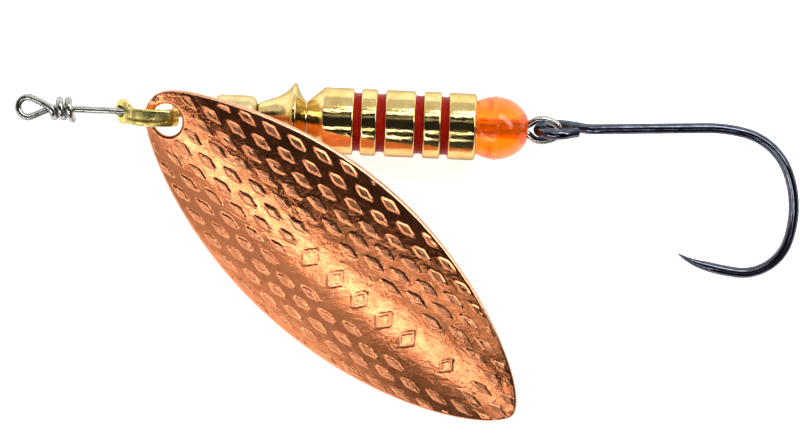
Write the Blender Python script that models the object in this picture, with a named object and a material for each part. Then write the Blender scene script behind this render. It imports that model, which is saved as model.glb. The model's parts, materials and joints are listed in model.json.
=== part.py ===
"""Inline spinner lure, lying on its side.

Millimetres are used for every size below and turned into metres where a mesh is made. The shaft runs
along +X from the line eye to the hook, +Z is up from the surface it lies on, and the origin is the middle
of the bounding box's bottom. Stations along the shaft are measured from the front of the line eye.
"""
import math

import bmesh
import bpy
from mathutils import Matrix, Vector

MM = 0.001
TURN = 2 * math.pi

# Clearances
RUN_GAP = 0.25        # radial, between the wire and what turns on it
STACK_GAP = 0.25      # end to end, between neighbours on the shaft
COIL_GAP = 0.1        # between the wire's own turns
EYE_GAP = 0.18        # each side of the hook's eye, inside the wire's rear loop

# Shaft wire
WIRE_D = 0.7
EYE_OUTER_W = 2.65
EYE_NECK = 3.5        # station where the eye's two strands cross
WRAP_TURNS = 2
WRAP_PITCH = 1.05
STUB_LENGTH = 0.75    # cut tail after the wrap
STUB_TURN = 50.0      # how far past the top the wrap goes before it leaves the shaft
TAIL_SPREAD = 0.4     # half the distance between the two strands in the tail bead
TAIL_LENGTH = 5.0     # folded tail hidden in the body
REAR_LOOP_TILT = 20.0
REAR_LOOP_LENGTH = 3.1

# Pieces threaded on the shaft
BEARING_START = 19.4
BEARING_LENGTH = 4.1
BEARING_R = 2.1
BEARING_CORNER = 0.8
BELL_LENGTH = 4.6
BELL_NECK_R = 1.45
BELL_RIM_R = 3.5
BELL_RIM_AT = 3.45
BELL_RIM_W = 0.3
BELL_BACK_R = 1.75
BODY_R = 3.25
BODY_NOSE_R = 1.95
BODY_NOSE_LENGTH = 1.5
BODY_LANDS = (2.9, 1.55, 2.9, 1.7, 2.6)
BODY_GROOVES = (0.7, 0.8, 0.8, 0.75)
GROOVE_DEPTH = 0.4
LAND_CHAMFER = 0.17
TAIL_BEAD_R = 3.2
TAIL_BEAD_HALF_LENGTH = 3.4
TAIL_BEAD_FRONT = 1.72    # from its widest place to its front face
TAIL_BEAD_BACK = 3.1

# Clevis
STRAP_T = 0.55
STRAP_W = 1.7
EAR_R = 1.25
FRONT_EAR = 10.6
REAR_EAR = 15.6
CLEVIS_LEAN = 12.0
FRONT_EAR_ANGLE = 55.0
REAR_EAR_ANGLE = -97.0
BOW_RISE = 1.0        # from the blade's hole up to the strap's highest place

# Blade
BLADE_LENGTH = 46.8
BLADE_WIDTH = 18.6
BLADE_T = 0.5
BLADE_DISH_LONG = 2.2
BLADE_DISH_CROSS = 2.2
BLADE_HOLE_R = 1.6
BLADE_HOLE_FROM_END = 2.6
BLADE_HOLE_OFFSET = 0.33     # from the blade's middle line
BLADE_HOLE_STATION = 15.07
BLADE_HOLE_DROP = 1.4       # from the bell's rim, which the blade lies over, down to the hole
BLADE_HOLE_SIDE = 0.7
BLADE_YAW = 38.65
BLADE_ROLL = 22.0
BLADE_PITCH = 3.0

# Hook
HOOK_WIRE_D = 1.0
HOOK_EYE_R = 1.8          # to the middle of its wire
HOOK_EYE_END = 1.0        # straight end that closes the eye
HOOK_EYE_SLACK = 0.2      # from the rear loop's middle to the eye's middle
HOOK_SHANK_END = 14.4     # from the eye's middle to the first bend
HOOK_BENDS = ((14.7, 15), (6.4, 54.5), (10.4, 39), (4.55, 80), (22, 10), (7.2, 18))   # radius, degrees
HOOK_POINT_LENGTH = 3.4
HOOK_POINT_R = 0.06
HOOK_ROLL = 12.0
HOOK_YAW = 3.2
HOOK_EYE_TWIST = 5.5


def clear_scene():
    for old in list(bpy.data.objects):
        bpy.data.objects.remove(old)


def material(name, colour, roughness, metallic):
    made = bpy.data.materials.new(name)
    made.use_nodes = True
    shader = made.node_tree.nodes["Principled BSDF"]
    shader.inputs["Base Color"].default_value = (*colour, 1)
    shader.inputs["Roughness"].default_value = roughness
    shader.inputs["Metallic"].default_value = metallic
    return made


def link(name, data, finish, parent):
    made = bpy.data.objects.new(name, data)
    bpy.context.collection.objects.link(made)
    data.materials.append(finish)
    made.parent = parent
    return made


def empty(name, parent, at=(0, 0, 0), turn=None):
    """A frame that pieces hang on, in millimetres from its parent."""
    made = bpy.data.objects.new(name, None)
    bpy.context.collection.objects.link(made)
    made.parent = parent
    made.matrix_local = Matrix.Translation(Vector(at) * MM) @ (turn or Matrix())
    return made


def rotation(degrees, axis):
    return Matrix.Rotation(math.radians(degrees), 4, axis)


def smooth_path(points, steps):
    """Points along a smooth curve through the given ones, with even steps between each pair."""
    given = [Vector(p) for p in points]
    ends = [2 * given[0] - given[1]] + given + [2 * given[-1] - given[-2]]
    path = []
    for i in range(1, len(ends) - 2):
        a, b, c, d = ends[i - 1:i + 3]
        for k in range(steps):
            t = k / steps
            path.append(0.5 * (2 * b + (c - a) * t + (2 * a - 5 * b + 4 * c - d) * t ** 2
                               + (3 * b - a - 3 * c + d) * t ** 3))
    return path + [given[-1]]


def wire(name, path, diameter, finish, parent, sides=3, radii=None):
    """Round wire along a path. radii are shares of the full radius."""
    data = bpy.data.curves.new(name, "CURVE")
    data.dimensions = "3D"
    data.bevel_depth = diameter / 2 * MM
    data.bevel_resolution = sides
    data.use_fill_caps = True
    data.twist_mode = "MINIMUM"
    spline = data.splines.new("POLY")
    spline.points.add(len(path) - 1)
    for i, place in enumerate(path):
        spline.points[i].co = (*(Vector(place) * MM), 1)
        spline.points[i].radius = radii[i] if radii else 1
    return link(name, data, finish, parent)


def shade(mesh, angle=35):
    mesh.shade_smooth()
    mesh.set_sharp_from_angle(angle=math.radians(angle))


def turned(name, profile, finish, parent, segments=32):
    """A solid turned about the shaft. profile is a closed loop of (station, radius) that misses the axis."""
    bm = bmesh.new()
    rings = []
    for x, r in profile:
        angles = [TURN * k / segments for k in range(segments)]
        rings.append([bm.verts.new((x * MM, r * math.cos(a) * MM, r * math.sin(a) * MM)) for a in angles])
    for i, ring in enumerate(rings):
        after = rings[(i + 1) % len(rings)]
        for k in range(segments):
            n = (k + 1) % segments
            bm.faces.new((ring[k], ring[n], after[n], after[k]))
    bmesh.ops.recalc_face_normals(bm, faces=bm.faces)
    data = bpy.data.meshes.new(name)
    bm.to_mesh(data)
    bm.free()
    shade(data)
    return link(name, data, finish, parent)


def arc(centre, radius, start, end, steps):
    """Points on an arc in (station, radius), angles in degrees from the shaft's direction."""
    angles = [math.radians(start + (end - start) * k / steps) for k in range(steps + 1)]
    return [(centre[0] + radius * math.cos(a), centre[1] + radius * math.sin(a)) for a in angles]


def shaft_bore():
    return WIRE_D / 2 + RUN_GAP


def tail_bore():
    """Wide enough for the two strands side by side."""
    return TAIL_SPREAD + WIRE_D / 2 + RUN_GAP


def bearing_profile(start):
    end = start + BEARING_LENGTH
    shoulder = BEARING_R - BEARING_CORNER
    return ([(start, shaft_bore())]
            + arc((start + BEARING_CORNER, shoulder), BEARING_CORNER, 180, 90, 5)
            + arc((end - BEARING_CORNER, shoulder), BEARING_CORNER, 90, 0, 5)
            + [(end, shaft_bore())])


def bell_profile(start):
    points = [(start, shaft_bore())]
    steps = 10
    for k in range(steps + 1):
        t = k / steps
        flare = 0.58 * t + 0.42 * t ** 5
        points.append((start + BELL_RIM_AT * t, BELL_NECK_R + (BELL_RIM_R - BELL_NECK_R) * flare))
    back = start + BELL_RIM_AT + BELL_RIM_W
    end = start + BELL_LENGTH
    steps = 5
    for k in range(steps + 1):
        t = k / steps
        hollow = (1 - t) ** 1.6
        points.append((back + (end - back) * t, BELL_BACK_R + (BELL_RIM_R - BELL_BACK_R) * hollow))
    return points + [(end, shaft_bore())]


def body_length():
    return BODY_NOSE_LENGTH + sum(BODY_LANDS) + sum(BODY_GROOVES)


def body_profile(start):
    """Nose cone, five lands with four grooves between them, and a bore that is wider at the tail."""
    points = [(start, shaft_bore()), (start, BODY_NOSE_R)]
    x = start + BODY_NOSE_LENGTH
    low = BODY_R - GROOVE_DEPTH
    for i, land in enumerate(BODY_LANDS):
        points += [(x if i == 0 else x + LAND_CHAMFER, BODY_R)]
        points += [(x + land - LAND_CHAMFER, BODY_R), (x + land, BODY_R - LAND_CHAMFER)]
        x += land
        if i < len(BODY_GROOVES):
            points += [(x, low), (x + BODY_GROOVES[i], low)]
            points += [(x + BODY_GROOVES[i], BODY_R - LAND_CHAMFER)]
            x += BODY_GROOVES[i]
    step = x - TAIL_LENGTH - 2 * RUN_GAP - WIRE_D
    return points + [(x, tail_bore()), (step, tail_bore()), (step, shaft_bore())]


def tail_bead_profile(start):
    middle = start + TAIL_BEAD_FRONT
    steps = 14
    points = [(start, tail_bore())]
    for k in range(steps + 1):
        x = -TAIL_BEAD_FRONT + (TAIL_BEAD_FRONT + TAIL_BEAD_BACK) * k / steps
        points.append((middle + x, TAIL_BEAD_R * math.sqrt(1 - (x / TAIL_BEAD_HALF_LENGTH) ** 2)))
    return points + [(middle + TAIL_BEAD_BACK, tail_bore())]


def eye_and_wrap():
    """The wire from the cut stub, round the shaft, through the line eye and back on to the axis."""
    coil_r = WIRE_D + COIL_GAP
    eye_r = (EYE_OUTER_W - WIRE_D) / 2
    eye_x = WIRE_D / 2 + eye_r
    last = EYE_NECK + WRAP_TURNS * WRAP_PITCH
    wrap = TURN * WRAP_TURNS + math.radians(STUB_TURN)
    leave = math.radians(90 + STUB_TURN)
    off = Vector((0.3, -math.sin(leave), math.cos(leave))).normalized()
    start = Vector((last + WRAP_PITCH * STUB_TURN / 360, coil_r * math.cos(leave), coil_r * math.sin(leave)))
    path = [start + off * STUB_LENGTH * k / 2 for k in (2, 1)]
    steps = 14 * WRAP_TURNS
    for k in range(steps + 1):
        left = wrap * (1 - k / steps)
        a = math.radians(90) + left
        path.append(Vector((EYE_NECK + WRAP_PITCH * left / TURN, coil_r * math.cos(a), coil_r * math.sin(a))))
    strand = [path[-1]]
    strand.append(Vector((EYE_NECK - 0.75, 0.36, 0.62 * coil_r)))
    for angle in (58, 90, 125, 160, 195, 230, 265, 300):
        a = math.radians(angle)
        fall = 0.3 * coil_r * max(0.0, math.cos(a / 2))
        strand.append(Vector((eye_x + eye_r * math.cos(a), eye_r * math.sin(a), fall)))
    strand.append(Vector((EYE_NECK - 0.75, -0.3, 0)))
    strand.append(Vector((EYE_NECK + 0.25, 0, 0)))
    strand.append(Vector((EYE_NECK + 1.5, 0, 0)))
    return path[:-1] + smooth_path(strand, 3)


def rear_loop(bead_end):
    """The wire's rear end: off the axis, out of the bead, round the loop and back into the body."""
    half = (HOOK_WIRE_D + WIRE_D) / 2 + EYE_GAP
    far = bead_end + REAR_LOOP_LENGTH
    ins = bead_end - TAIL_BEAD_FRONT - TAIL_BEAD_BACK
    strand = [(ins - TAIL_LENGTH, 0), (ins - TAIL_LENGTH + 1.6, 0.05), (ins - TAIL_LENGTH + 3.0, TAIL_SPREAD)]
    out = [(ins, TAIL_SPREAD), (bead_end - 0.6, TAIL_SPREAD), (bead_end, TAIL_SPREAD),
           (bead_end + 0.43, 0.7 * half), (bead_end + 0.9, half), (bead_end + 1.7, 1.06 * half),
           (far - 0.42, 0.75 * half), (far - 0.08, 0.36 * half)]
    back = [(x, -y) for x, y in reversed(out)]
    points = strand + out + [(far, 0)] + back + [(ins - TAIL_LENGTH + 3.4, -TAIL_SPREAD)]
    tilt = rotation(REAR_LOOP_TILT, "X")
    return [tilt @ p for p in smooth_path([(x, y, 0) for x, y in points], 3)]


def make_shaft_wire(finish, parent, bead_end):
    wire("shaft_wire", eye_and_wrap() + rear_loop(bead_end), WIRE_D, finish, parent)


def blade_hole_height():
    """The blade lies over the bell's rim, so a bigger bell lifts it and the strap that holds it."""
    return BELL_RIM_R - BLADE_HOLE_DROP


def clevis_path():
    """The strap's middle line in the clevis plane: station, height above the shaft's axis."""
    front = math.radians(FRONT_EAR_ANGLE)
    rear = math.radians(REAR_EAR_ANGLE)
    lead = Vector((math.cos(front), math.sin(front), 0))
    trail = Vector((math.cos(rear), math.sin(rear), 0))
    first = Vector((FRONT_EAR, 0, 0))
    last = Vector((REAR_EAR, 0, 0))
    length = REAR_EAR - FRONT_EAR
    bow = blade_hole_height() + BOW_RISE
    shape = ((0.18, 0.7), (0.35, 0.94), (0.66, 1.0), (0.93, 0.88))
    top = [(FRONT_EAR + x * length, z * bow, 0) for x, z in shape]
    turn_in = [last - trail * 1.55 + Vector((0.08, 0, 0))]
    points = [first - lead * EAR_R, first, first + lead * EAR_R] + top + turn_in + [last, last + trail * EAR_R]
    return smooth_path(points, 5)


def make_clevis(finish, parent):
    """A strap bent over the blade's rim, with an ear at each end for the shaft."""
    path = clevis_path()
    travelled = [0.0]
    for a, b in zip(path, path[1:]):
        travelled.append(travelled[-1] + (b - a).length)
    total = travelled[-1]
    corner = STRAP_T * 0.28
    bm = bmesh.new()
    rings = []
    for i, place in enumerate(path):
        ahead = path[min(i + 1, len(path) - 1)] - path[max(i - 1, 0)]
        ahead.normalize()
        normal = Vector((-ahead.y, ahead.x, 0))
        from_end = min(travelled[i], total - travelled[i])
        ear = math.sqrt(max(0.0, EAR_R ** 2 - (EAR_R - min(from_end, 2 * EAR_R)) ** 2))
        half = max(ear, STRAP_W / 2 if from_end > EAR_R else 0, 0.35)
        outline = [(half, STRAP_T / 2 - corner), (half - corner, STRAP_T / 2), (corner - half, STRAP_T / 2),
                   (-half, STRAP_T / 2 - corner), (-half, corner - STRAP_T / 2),
                   (corner - half, -STRAP_T / 2), (half - corner, -STRAP_T / 2), (half, corner - STRAP_T / 2)]
        ring = []
        for across, out in outline:
            spot = place + normal * out
            ring.append(bm.verts.new((spot.x * MM, across * MM, spot.y * MM)))
        rings.append(ring)
    for a, b in zip(rings, rings[1:]):
        for k in range(len(a)):
            n = (k + 1) % len(a)
            bm.faces.new((a[k], a[n], b[n], b[k]))
    bm.faces.new(rings[0])
    bm.faces.new(rings[-1])
    bmesh.ops.recalc_face_normals(bm, faces=bm.faces)
    data = bpy.data.meshes.new("clevis")
    bm.to_mesh(data)
    bm.free()
    shade(data, 50)
    made = link("clevis", data, finish, parent)
    bore = cylinder("clevis_bore", shaft_bore(), (FRONT_EAR - 3, REAR_EAR + 3), "X", parent)
    cut(made, bore)
    return made


def cylinder(name, radius, span, axis, parent, segments=20):
    """A cutter along one axis of its parent, from one end of span to the other."""
    bm = bmesh.new()
    length = (span[1] - span[0]) * MM
    bmesh.ops.create_cone(bm, cap_ends=True, segments=segments, radius1=radius * MM, radius2=radius * MM,
                          depth=length)
    middle = (span[0] + span[1]) / 2 * MM
    if axis == "X":
        bmesh.ops.rotate(bm, verts=bm.verts, cent=(0, 0, 0), matrix=rotation(90, "Y").to_3x3())
        bmesh.ops.translate(bm, verts=bm.verts, vec=(middle, 0, 0))
    else:
        bmesh.ops.translate(bm, verts=bm.verts, vec=(0, 0, middle))
    data = bpy.data.meshes.new(name)
    bm.to_mesh(data)
    bm.free()
    made = bpy.data.objects.new(name, data)
    bpy.context.collection.objects.link(made)
    made.parent = parent
    made.hide_render = True
    made.display_type = "WIRE"
    return made


def cut(target, cutter):
    change = target.modifiers.new("cut", "BOOLEAN")
    change.operation = "DIFFERENCE"
    change.object = cutter


def blade_half_width(share):
    """Half the blade's width at a share of its length, 0 at the hole's end and 1 at the tip."""
    power = 0.617 + 0.01 * share - 0.1 * math.exp(-share / 0.06)
    return BLADE_WIDTH / 2 * math.sin(math.pi * share) ** power


def blade_height(along, across):
    """The dished middle surface, measured from the level of its two ends."""
    half = BLADE_LENGTH / 2
    lengthwise = BLADE_DISH_LONG * (1 - ((along - half) / half) ** 2)
    crosswise = BLADE_DISH_CROSS * (across / (BLADE_WIDTH / 2)) ** 2
    return lengthwise - crosswise


def make_blade(finish, parent):
    """A dished oval plate. Its own frame has the hole's middle at the origin and +Z on the crown side."""
    rows, columns = 40, 14
    ends = 0.002
    bm = bmesh.new()
    level = blade_height(BLADE_HOLE_FROM_END, BLADE_HOLE_OFFSET)
    sheets = []
    for side in (0.5, -0.5):
        grid = []
        for i in range(rows + 1):
            share = ends + (1 - 2 * ends) * (1 - math.cos(math.pi * i / rows)) / 2
            along = share * BLADE_LENGTH
            line = []
            for k in range(columns + 1):
                across = blade_half_width(share) * math.sin(math.pi * (k / columns - 0.5))
                z = blade_height(along, across) - level + side * BLADE_T
                spot = Vector((along - BLADE_HOLE_FROM_END, across + BLADE_HOLE_OFFSET, z))
                line.append(bm.verts.new(spot * MM))
            grid.append(line)
        sheets.append(grid)
    for grid in sheets:
        for a, b in zip(grid, grid[1:]):
            for k in range(columns):
                bm.faces.new((a[k], a[k + 1], b[k + 1], b[k]))
    top, under = sheets
    top_rim = [top[i][0] for i in range(rows + 1)] + top[-1][1:] + [top[i][-1] for i in range(rows - 1, -1, -1)]
    top_rim += [top[0][k] for k in range(columns - 1, 0, -1)]
    under_rim = [under[i][0] for i in range(rows + 1)] + under[-1][1:]
    under_rim += [under[i][-1] for i in range(rows - 1, -1, -1)] + [under[0][k] for k in range(columns - 1, 0, -1)]
    for k in range(len(top_rim)):
        n = (k + 1) % len(top_rim)
        bm.faces.new((top_rim[k], top_rim[n], under_rim[n], under_rim[k]))
    bmesh.ops.recalc_face_normals(bm, faces=bm.faces)
    data = bpy.data.meshes.new("blade")
    bm.to_mesh(data)
    bm.free()
    shade(data)
    made = link("blade", data, finish, parent)
    hole = cylinder("blade_hole", BLADE_HOLE_R, (-3, 3), "Z", parent, 24)
    cut(made, hole)
    return made


def hook_path():
    """The hook's middle line in its own frame: shank along +X, bend towards -Y, eye round the origin."""
    eye = []
    twist = rotation(HOOK_EYE_TWIST, "X")
    end_angle = 300
    lead = 2 * HOOK_EYE_R
    steps = 20
    joint = HOOK_EYE_R * math.cos(math.radians(end_angle)), HOOK_EYE_R * math.sin(math.radians(end_angle))
    for ahead in (HOOK_EYE_END, HOOK_EYE_END / 2):
        eye.append((joint[0] + ahead, 0, joint[1] + ahead * math.tan(math.radians(30))))
    for k in range(steps + 1):
        a = math.radians(end_angle - (end_angle - 60) * k / steps)
        eye.append((HOOK_EYE_R * math.cos(a), 0, HOOK_EYE_R * math.sin(a)))
    path = [twist @ Vector((x, y, -z)) for x, y, z in eye]
    lead_in = [path[-1], twist @ Vector((lead * 0.55, 0, -lead * 0.24)), Vector((lead * 0.85, 0, -0.22)),
               Vector((lead * 1.15, 0, 0)), Vector((lead * 1.6, 0, 0)), Vector((HOOK_SHANK_END, 0, 0))]
    path = path[:-1] + smooth_path(lead_in, 4)
    heading = 0.0
    at = path[-1]
    for radius, degrees in HOOK_BENDS:
        pieces = max(2, round(degrees / 9))
        for _ in range(pieces):
            turn = math.radians(degrees / pieces)
            heading += turn / 2
            chord = 2 * radius * math.sin(turn / 2)
            at = at + Vector((math.cos(heading), -math.sin(heading), 0)) * chord
            heading += turn / 2
            path.append(at)
    return path


def make_hook(finish, parent):
    path = hook_path()
    left = [0.0]
    for a, b in zip(reversed(path), list(reversed(path))[1:]):
        left.append(left[-1] + (b - a).length)
    left.reverse()
    tip = HOOK_POINT_R / (HOOK_WIRE_D / 2)
    radii = [tip + (1 - tip) * min(1.0, d / HOOK_POINT_LENGTH) ** 0.75 for d in left]
    return wire("hook", path, HOOK_WIRE_D, finish, parent, 4, radii)


def settle(root):
    """Moves everything so that the origin is the middle of the bounding box's bottom."""
    bpy.context.view_layer.update()
    graph = bpy.context.evaluated_depsgraph_get()
    corners = []
    for piece in bpy.context.collection.objects:
        if piece.type not in {"MESH", "CURVE"} or piece.hide_render:
            continue
        ready = piece.evaluated_get(graph)
        mesh = ready.to_mesh()
        corners += [ready.matrix_world @ v.co for v in mesh.vertices]
        ready.to_mesh_clear()
    low = Vector([min(c[i] for c in corners) for i in range(3)])
    high = Vector([max(c[i] for c in corners) for i in range(3)])
    root.location = (-(low.x + high.x) / 2, -(low.y + high.y) / 2, -low.z)
    bpy.context.view_layer.update()


def blade_frame(clevis_frame):
    """The blade swings about the strip between its hole and its end, which the clevis holds."""
    lie = rotation(-BLADE_YAW, "Z") @ rotation(BLADE_PITCH, "Y") @ rotation(BLADE_ROLL, "X")
    hole = Vector((BLADE_HOLE_STATION, -BLADE_HOLE_SIDE, blade_hole_height()))
    normal = lie @ Vector((0, 0, 1))
    forward = Vector((-normal.z, 0, normal.x)).normalized()
    strip = hole + forward * (BLADE_HOLE_R + BLADE_HOLE_FROM_END) / 2
    to_clevis = rotation(-CLEVIS_LEAN, "X")
    swing = empty("blade_swing", clevis_frame, to_clevis @ strip)
    return empty("blade_hole_frame", swing, to_clevis @ (hole - strip), to_clevis @ lie)


def hook_frame(root, bead_end):
    """The hook swings about the middle of its eye, square to the eye's own plane."""
    offset = HOOK_EYE_R * math.sin(math.radians(HOOK_YAW))
    eye_at = (bead_end + REAR_LOOP_LENGTH - HOOK_EYE_SLACK, offset, 0)
    turn = rotation(HOOK_YAW, "Z") @ rotation(HOOK_ROLL + HOOK_EYE_TWIST, "X")
    swing = empty("hook_swing", root, eye_at, turn)
    return empty("hook_shank_frame", swing, turn=rotation(-HOOK_EYE_TWIST, "X"))


def main():
    clear_scene()
    steel = material("wire_steel", (0.62, 0.62, 0.60), 0.2, 1)
    brass = material("brass", (0.72, 0.55, 0.24), 0.18, 1)
    clevis_brass = material("clevis_brass", (0.66, 0.55, 0.27), 0.3, 1)
    copper = material("copper", (0.80, 0.38, 0.22), 0.22, 1)
    orange = material("orange_plastic", (0.95, 0.25, 0.02), 0.12, 0)
    nickel = material("black_nickel", (0.10, 0.10, 0.13), 0.25, 1)

    root = empty("shaft", None)
    bell_start = BEARING_START + BEARING_LENGTH + STACK_GAP
    body_start = bell_start + BELL_LENGTH + STACK_GAP
    bead_start = body_start + body_length() + STACK_GAP
    bead_end = bead_start + TAIL_BEAD_FRONT + TAIL_BEAD_BACK

    make_shaft_wire(steel, root, bead_end)
    turned("bearing_bead", bearing_profile(BEARING_START), brass, root)
    turned("bell", bell_profile(bell_start), brass, root)
    turned("body", body_profile(body_start), brass, root)
    turned("tail_bead", tail_bead_profile(bead_start), orange, root)

    clevis_frame = empty("clevis_axis", root, turn=rotation(CLEVIS_LEAN, "X"))
    make_clevis(clevis_brass, clevis_frame)
    make_blade(copper, blade_frame(clevis_frame))

    make_hook(nickel, hook_frame(root, bead_end))
    settle(root)


main()
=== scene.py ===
"""Looks for an inline spinner lure: finer meshes, materials, light, floor and camera.

Lengths are in millimetres and angles in degrees, turned into metres and radians where a mesh is made.
Shaft space has its origin on the shaft's axis at the front of the line eye, +X towards the hook, +Z up.
"""

import json
import math

import bpy
import numpy as np
from mathutils import Matrix, Vector


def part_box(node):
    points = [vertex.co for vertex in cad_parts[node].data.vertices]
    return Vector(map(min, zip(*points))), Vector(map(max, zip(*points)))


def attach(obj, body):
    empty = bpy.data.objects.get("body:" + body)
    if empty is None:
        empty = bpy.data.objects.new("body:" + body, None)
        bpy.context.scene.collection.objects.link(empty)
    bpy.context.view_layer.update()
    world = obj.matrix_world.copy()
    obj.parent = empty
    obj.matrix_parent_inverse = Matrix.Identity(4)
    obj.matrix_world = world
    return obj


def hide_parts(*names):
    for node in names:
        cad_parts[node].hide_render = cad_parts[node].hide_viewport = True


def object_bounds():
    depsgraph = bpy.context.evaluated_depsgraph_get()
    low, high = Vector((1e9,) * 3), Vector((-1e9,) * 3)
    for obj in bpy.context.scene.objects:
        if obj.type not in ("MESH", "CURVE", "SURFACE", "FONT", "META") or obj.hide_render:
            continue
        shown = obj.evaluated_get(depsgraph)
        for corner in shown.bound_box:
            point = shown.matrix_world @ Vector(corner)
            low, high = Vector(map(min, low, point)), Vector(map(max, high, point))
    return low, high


MM = 0.001
TURN = 2 * math.pi
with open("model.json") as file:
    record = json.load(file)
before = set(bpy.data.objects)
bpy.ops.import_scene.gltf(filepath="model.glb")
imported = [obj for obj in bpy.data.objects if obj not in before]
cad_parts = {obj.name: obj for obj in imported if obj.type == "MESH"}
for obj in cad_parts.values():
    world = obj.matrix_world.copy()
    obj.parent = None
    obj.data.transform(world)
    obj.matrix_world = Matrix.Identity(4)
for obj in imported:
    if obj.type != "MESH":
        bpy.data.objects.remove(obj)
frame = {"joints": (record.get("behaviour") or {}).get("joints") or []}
CAD_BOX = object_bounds()
JOINTS = {joint["name"]: joint for joint in frame["joints"]}
SHAFT_ORIGIN = Vector(JOINTS["clevis_spin"]["pos_m"])
SHAFT_SPACE = Matrix.Translation(SHAFT_ORIGIN)

# Shaft wire
WIRE_D = 0.7
WIRE_SIDES = 28
COIL_GAP = 0.1             # between the shaft and the wrap
EYE_GAP = 0.18             # between the rear loop and the hook
EYE_OUTER_W = 2.65
EYE_NECK = 3.7             # where the wrap starts
WRAP_TURNS = 2
WRAP_PITCH = 0.85
STUB_LENGTH = 0.75
STUB_TURN = 50.0           # how far past the top the wire leaves the wrap
STUB_LEAN = 0.3            # towards the hook, for each part outwards
TAIL_SPREAD = 0.4          # of the two strands at the rear, from the axis
TAIL_LENGTH = 5.0
REAR_LOOP_TILT = 20.0
REAR_LOOP_LENGTH = 3.1
BORE_GAP = 0.25
BORE_R = WIRE_D / 2 + BORE_GAP
TAIL_BORE_R = TAIL_SPREAD + WIRE_D / 2 + BORE_GAP

# Turned pieces
STACK_FILL = 0.1           # how much nearer they come to each other than in the CAD
BEARING_CORNER = 0.8
BELL_NECK_R = 1.45
BELL_RIM_AT = 3.45
BELL_RIM_W = 0.3
BELL_BACK_R = 1.75
BODY_NOSE_R = 1.95
BODY_NOSE_LENGTH = 1.5
BODY_LANDS = (2.9, 1.55, 2.9, 1.7, 2.6)
BODY_GROOVES = (0.7, 0.8, 0.8, 0.75)
BODY_BACK_STEP = 0.3       # how far the back face's edge is below the lands
BODY_TAIL_ROOM = 1.2       # past the wire's tail, inside
GROOVE_FLOOR = 0.7         # below the lands
ENAMEL_DEPTH = 0.42        # the enamel's surface, below the lands
ENAMEL_RISE = 0.09         # where it wets the groove's walls
ENAMEL_FIT = 0.01
LAND_CHAMFER = 0.12
TAIL_BEAD_HALF_LENGTH = 3.4
TAIL_BEAD_FRONT = 1.72     # from the bead's front to its widest place
SEAM_HEIGHT = 0.12
SEAM_WIDTH = 0.1

# Clevis
STRAP_T = 0.55
STRAP_W = 1.7
EAR_R = 1.25
FRONT_EAR = 10.6           # where the wire goes through, along the shaft
REAR_EAR = 15.6
CLEVIS_LEAN = 12.0
FRONT_EAR_ANGLE = 55.0
REAR_EAR_ANGLE = -97.0
BOW_HEIGHT = 3.1
FOLD_AT = -0.28            # the fold line, across the strap
FOLD_W = 0.26
FOLD_DEPTH = 0.3

# Blade
BLADE_LENGTH = 46.8
BLADE_WIDTH = 18.6
BLADE_T = 0.5
BLADE_DISH_LONG = 2.2
BLADE_DISH_CROSS = 2.2
BLADE_HOLE_R = 1.6
BLADE_HOLE_FROM_END = 2.6
BLADE_HOLE_OFFSET = 0.33
BLADE_YAW = 38.65
BLADE_ROLL = 22.0
BLADE_PITCH = 3.0
BLADE_ROWS = 380
BLADE_COLUMNS = 160

# Embossing, with places measured from the middle of the blade's hole
DIAMOND_FIRST = 2.92
DIAMOND_STEP = 2.645
DIAMOND_HALF = (1.38, 0.41)
DIAMOND_HEIGHT = 0.12
DIAMOND_HOLLOW = 0.35      # how much of the height is lost in the middle
ROW_ZERO = -0.07
ROW_STEP = 1.55
ROW_STEP_HIGH = 1.44       # beyond the first row on the high side
PANEL = (17.3, 38.9)       # where there are no diamonds, along the blade
PANEL_HALF = 2.45
MARKS = (19.05, 22.26, 25.3, 28.4, 31.3)
MARKS_ACROSS = -0.14
MARK_LAST = (35.9, 0.28)
MARK_LAST_SIZE = 0.8
MARK_HALF = (1.0, 1.35)
MARK_HEIGHT = 0.06

# Hook
HOOK_WIRE_D = 1.0
HOOK_EYE_R = 1.8
HOOK_EYE_END = 1.0
HOOK_SHANK_END = 14.4
HOOK_BENDS = ((14.7, 15), (6.4, 54.5), (10.4, 39), (4.55, 80), (22, 10), (7.2, 18))     # radius, angle
HOOK_POINT_LENGTH = 3.4
HOOK_POINT_R = 0.05
HOOK_ROLL = 12.0
HOOK_YAW = 3.2
HOOK_EYE_TWIST = 5.5

# Camera
CAMERA_STATION = 37.94     # along the shaft
CAMERA_SIDE = -9.74        # from the shaft, towards the hook's point
CAMERA_ROLL = 2.56
CAMERA_LENS = 120.0
CAMERA_SENSOR = 36.0
VIEW_WIDTH = 77.8          # at the shaft's height

# Floor, sky and lights
FLOOR_HALF = 1500.0
FLOOR_DROP = 0.2           # below the lure, so that they never share a plane
FLOOR_GLOW = 0.8
SKY_TOP = 0.02
SKY_NEAR = 0.08            # on the side of the hook's point
SKY_FAR = 0.5
BACKDROP = 0.9             # what the camera sees past the floor's edge
LIGHT_AWAY = 0.5           # in metres
LIGHTS = (                 # name, zenith, azimuth, height, width, strength
    ("wall_high", 76, 90, 64, 120, 0.8),
    ("wall_edge", 35, 90, 5, 50, 6.0),
    ("overhead_line", 18, 90, 5, 46, 0.5),
    ("strip_line", 25, 272, 5, 22, 4.0),
    ("crown_streak", 46, 234, 5, 54, 10.0),
    ("blade_side", 76, 216, 46, 56, 0.52),
    ("far_line", 44, 48, 11, 66, 8.0),
)


def rotation(degrees, axis):
    return Matrix.Rotation(math.radians(degrees), 4, axis)


def smoothstep(low, high, value):
    t = np.clip((value - low) / (high - low), 0, 1)
    return t * t * (3 - 2 * t)


def station(node, end):
    """Where a node starts (end 0) or stops (end 1) along the shaft."""
    return (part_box(node)[end].x - SHAFT_ORIGIN.x) / MM


def radius_of(node):
    low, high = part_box(node)
    return (high.z - low.z) / 2 / MM


# Materials

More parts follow.
